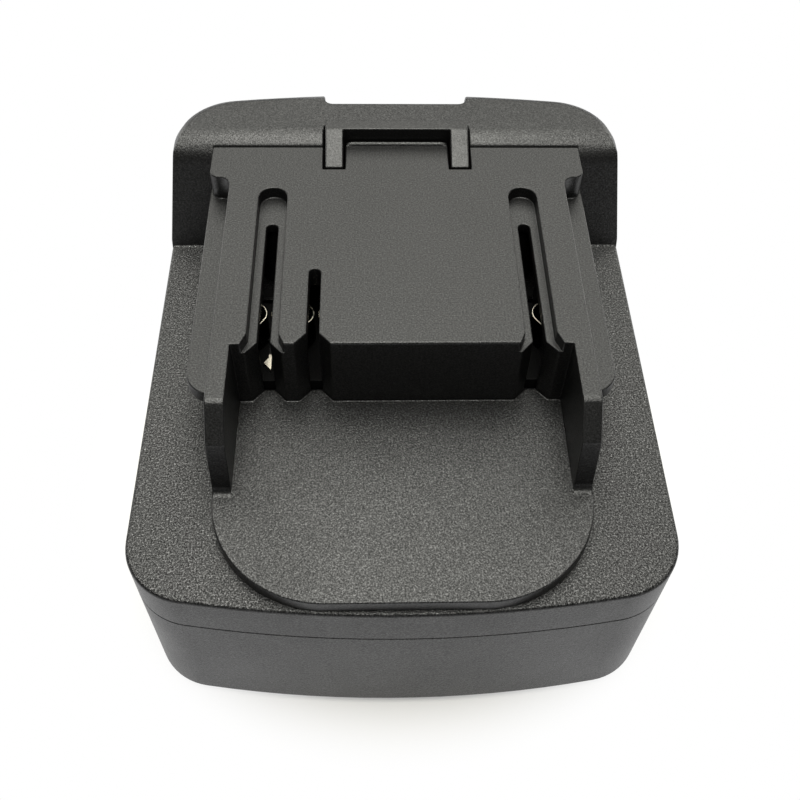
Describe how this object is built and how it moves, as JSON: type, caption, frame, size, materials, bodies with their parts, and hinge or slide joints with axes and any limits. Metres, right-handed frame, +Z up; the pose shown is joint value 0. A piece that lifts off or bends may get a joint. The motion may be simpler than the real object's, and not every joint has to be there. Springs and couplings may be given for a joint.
{
  "type": "tool battery adapter",
  "caption": "Two-shell tool battery adapter: a slide pack enters a socket below, a slotted plate with sprung contacts and a push-button latch carries the tool above.",
  "frame": {"origin": "centre of the footprint on the standing plane", "axes": "+X to the right seen from the slot mouths, +Y from the tongue towards the riser and its latch, +Z up"},
  "size_m": [0.0808, 0.096, 0.0532],
  "materials": {
    "shell_plastic": "fine moulded texture, satin",
    "plate_plastic": "very fine moulded texture, satin",
    "latch_plastic": "satin",
    "insulator": "smooth satin",
    "contact_metal": "tin-plated",
    "blade_metal": "nickel-plated",
    "spring_steel": "bright drawn",
    "screw_steel": "zinc-plated",
    "wire_black": "smooth jacket",
    "wire_red": "smooth jacket",
    "wire_white": "smooth jacket"
  },
  "bodies": {
    "body": {"lower_shell": "shell_plastic", "upper_shell": "shell_plastic", "tool_plate": "plate_plastic", "contact_carrier": "insulator", "contact_left": "contact_metal", "contact_right": "contact_metal", "contact_signal": "contact_metal", "latch_spring_left": "spring_steel", "latch_spring_right": "spring_steel", "terminal_block": "insulator", "blade_left": "blade_metal", "blade_right": "blade_metal", "blade_signal": "blade_metal", "wire_left": "wire_black", "wire_right": "wire_red", "wire_signal": "wire_white", "case_screws": "screw_steel", "plate_screws": "screw_steel", "carrier_screws": "screw_steel", "block_screws": "screw_steel"},
    "latch": {"latch": "latch_plastic"}
  },
  "joints": [
    {"name": "latch_slide", "type": "slide", "parent": "body", "child": "latch", "axis": [0, 0, -1], "range_m": [0, 0.0032], "stiffness_N_per_m": 900, "springref_m": -0.008, "deforming": ["latch_spring_left", "latch_spring_right"]}
  ]
}
